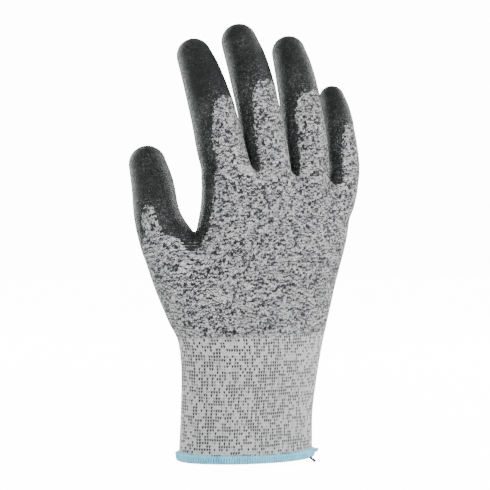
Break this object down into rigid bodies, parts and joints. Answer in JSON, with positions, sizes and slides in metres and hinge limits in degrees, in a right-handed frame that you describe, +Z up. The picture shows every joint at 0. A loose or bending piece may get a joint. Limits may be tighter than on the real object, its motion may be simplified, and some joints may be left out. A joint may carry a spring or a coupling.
{
  "type": "cut resistant glove",
  "caption": "Right-hand cut resistant work glove: seamless grey knitted liner, elastic cuff with overlocked hem, dark coating over the palm and fingertips.",
  "frame": {"origin": "centre of the hand opening, at the bottom edge of the hem", "axes": "+Z up the glove to the fingertips, +Y out of the coated palm, -Y out of the knitted back, -X to the thumb, +X to the little finger"},
  "size_m": [0.1275, 0.053, 0.2402],
  "materials": {
    "body_yarn": "grey melange plain knit",
    "cuff_yarn": "lighter grey melange rib knit",
    "coating": "matte black-grey polyurethane film over the knit",
    "hem_thread": "light blue overlock thread",
    "tail_thread": "blue thread with a dark cut end",
    "elastic_yarn": "covered elastic"
  },
  "bodies": {
    "cuff": {"cuff_knit": "cuff_yarn", "hem_overlock": "hem_thread", "hem_tail": "tail_thread", "cuff_elastic": "elastic_yarn"},
    "wrist_band": {"wrist_band_knit": "body_yarn"},
    "palm": {"palm_knit": "body_yarn", "palm_coating": "coating"},
    "index_proximal": {"index_proximal_knit": "body_yarn", "index_proximal_coating": "coating"},
    "index_middle": {"index_middle_knit": "body_yarn", "index_middle_coating": "coating"},
    "index_distal": {"index_distal_knit": "body_yarn", "index_distal_coating": "coating"},
    "middle_proximal": {"middle_proximal_knit": "body_yarn", "middle_proximal_coating": "coating"},
    "middle_middle": {"middle_middle_knit": "body_yarn", "middle_middle_coating": "coating"},
    "middle_distal": {"middle_distal_knit": "body_yarn", "middle_distal_coating": "coating"},
    "ring_proximal": {"ring_proximal_knit": "body_yarn", "ring_proximal_coating": "coating"},
    "ring_middle": {"ring_middle_knit": "body_yarn", "ring_middle_coating": "coating"},
    "ring_distal": {"ring_distal_knit": "body_yarn", "ring_distal_coating": "coating"},
    "little_proximal": {"little_proximal_knit": "body_yarn", "little_proximal_coating": "coating"},
    "little_middle": {"little_middle_knit": "body_yarn", "little_middle_coating": "coating"},
    "little_distal": {"little_distal_knit": "body_yarn", "little_distal_coating": "coating"},
    "thumb_proximal": {"thumb_proximal_knit": "body_yarn", "thumb_proximal_coating": "coating"},
    "thumb_distal": {"thumb_distal_knit": "body_yarn", "thumb_distal_coating": "coating"}
  },
  "joints": [
    {"name": "wrist_flexion", "type": "hinge", "parent": "cuff", "child": "wrist_band", "pos_m": [0, 0.0246, 0.06], "axis": [-1, 0, 0], "range_deg": [0, 40]},
    {"name": "wrist_extension", "type": "hinge", "parent": "wrist_band", "child": "palm", "pos_m": [0, -0.0216, 0.08], "axis": [1, 0, 0], "range_deg": [0, 35]},
    {"name": "index_knuckle", "type": "hinge", "parent": "palm", "child": "index_proximal", "pos_m": [-0.01713, 0.00929, 0.16152], "axis": [-0.9636, -0.2108, -0.1647], "range_deg": [-6, 75]},
    {"name": "index_middle_fold", "type": "hinge", "parent": "index_proximal", "child": "index_middle", "pos_m": [-0.02099, 0.01094, 0.182], "axis": [-0.9636, -0.2108, -0.1647], "range_deg": [-8, 85]},
    {"name": "index_tip_fold", "type": "hinge", "parent": "index_middle", "child": "index_distal", "pos_m": [-0.02548, 0.01468, 0.20347], "axis": [-0.9636, -0.2108, -0.1647], "range_deg": [-8, 40]},
    {"name": "middle_knuckle", "type": "hinge", "parent": "palm", "child": "middle_proximal", "pos_m": [0.0096, 0.00632, 0.16073], "axis": [-0.9759, -0.1751, -0.1302], "range_deg": [-6, 75]},
    {"name": "middle_middle_fold", "type": "hinge", "parent": "middle_proximal", "child": "middle_middle", "pos_m": [0.00587, 0.00932, 0.18466], "axis": [-0.9759, -0.1751, -0.1302], "range_deg": [-8, 85]},
    {"name": "middle_tip_fold", "type": "hinge", "parent": "middle_middle", "child": "middle_distal", "pos_m": [0.0016, 0.01499, 0.20906], "axis": [-0.9759, -0.1751, -0.1302], "range_deg": [-8, 40]},
    {"name": "ring_knuckle", "type": "hinge", "parent": "palm", "child": "ring_proximal", "pos_m": [0.03306, 0.00639, 0.15941], "axis": [-0.9887, -0.1394, -0.0553], "range_deg": [-6, 75]},
    {"name": "ring_middle_fold", "type": "hinge", "parent": "ring_proximal", "child": "ring_middle", "pos_m": [0.03145, 0.00901, 0.1816], "axis": [-0.9887, -0.1394, -0.0553], "range_deg": [-8, 85]},
    {"name": "ring_tip_fold", "type": "hinge", "parent": "ring_middle", "child": "ring_distal", "pos_m": [0.02939, 0.01418, 0.20537], "axis": [-0.9887, -0.1394, -0.0553], "range_deg": [-8, 40]},
    {"name": "little_knuckle", "type": "hinge", "parent": "palm", "child": "little_proximal", "pos_m": [0.05592, 0.00675, 0.15546], "axis": [-0.9938, -0.1046, -0.0382], "range_deg": [-6, 75]},
    {"name": "little_middle_fold", "type": "hinge", "parent": "little_proximal", "child": "little_middle", "pos_m": [0.05515, 0.00837, 0.17096], "axis": [-0.9938, -0.1046, -0.0382], "range_deg": [-9, 85]},
    {"name": "little_tip_fold", "type": "hinge", "parent": "little_middle", "child": "little_distal", "pos_m": [0.05421, 0.01167, 0.1864], "axis": [-0.9938, -0.1046, -0.0382], "range_deg": [-9, 40]},
    {"name": "thumb_knuckle", "type": "hinge", "parent": "palm", "child": "thumb_proximal", "pos_m": [-0.04498, 0.02082, 0.12453], "axis": [-0.9856, 0.0445, -0.1632], "range_deg": [-4, 40]},
    {"name": "thumb_tip_fold", "type": "hinge", "parent": "thumb_proximal", "child": "thumb_distal", "pos_m": [-0.04813, 0.02405, 0.14447], "axis": [-0.9856, 0.0445, -0.1632], "range_deg": [-6, 60]}
  ]
}
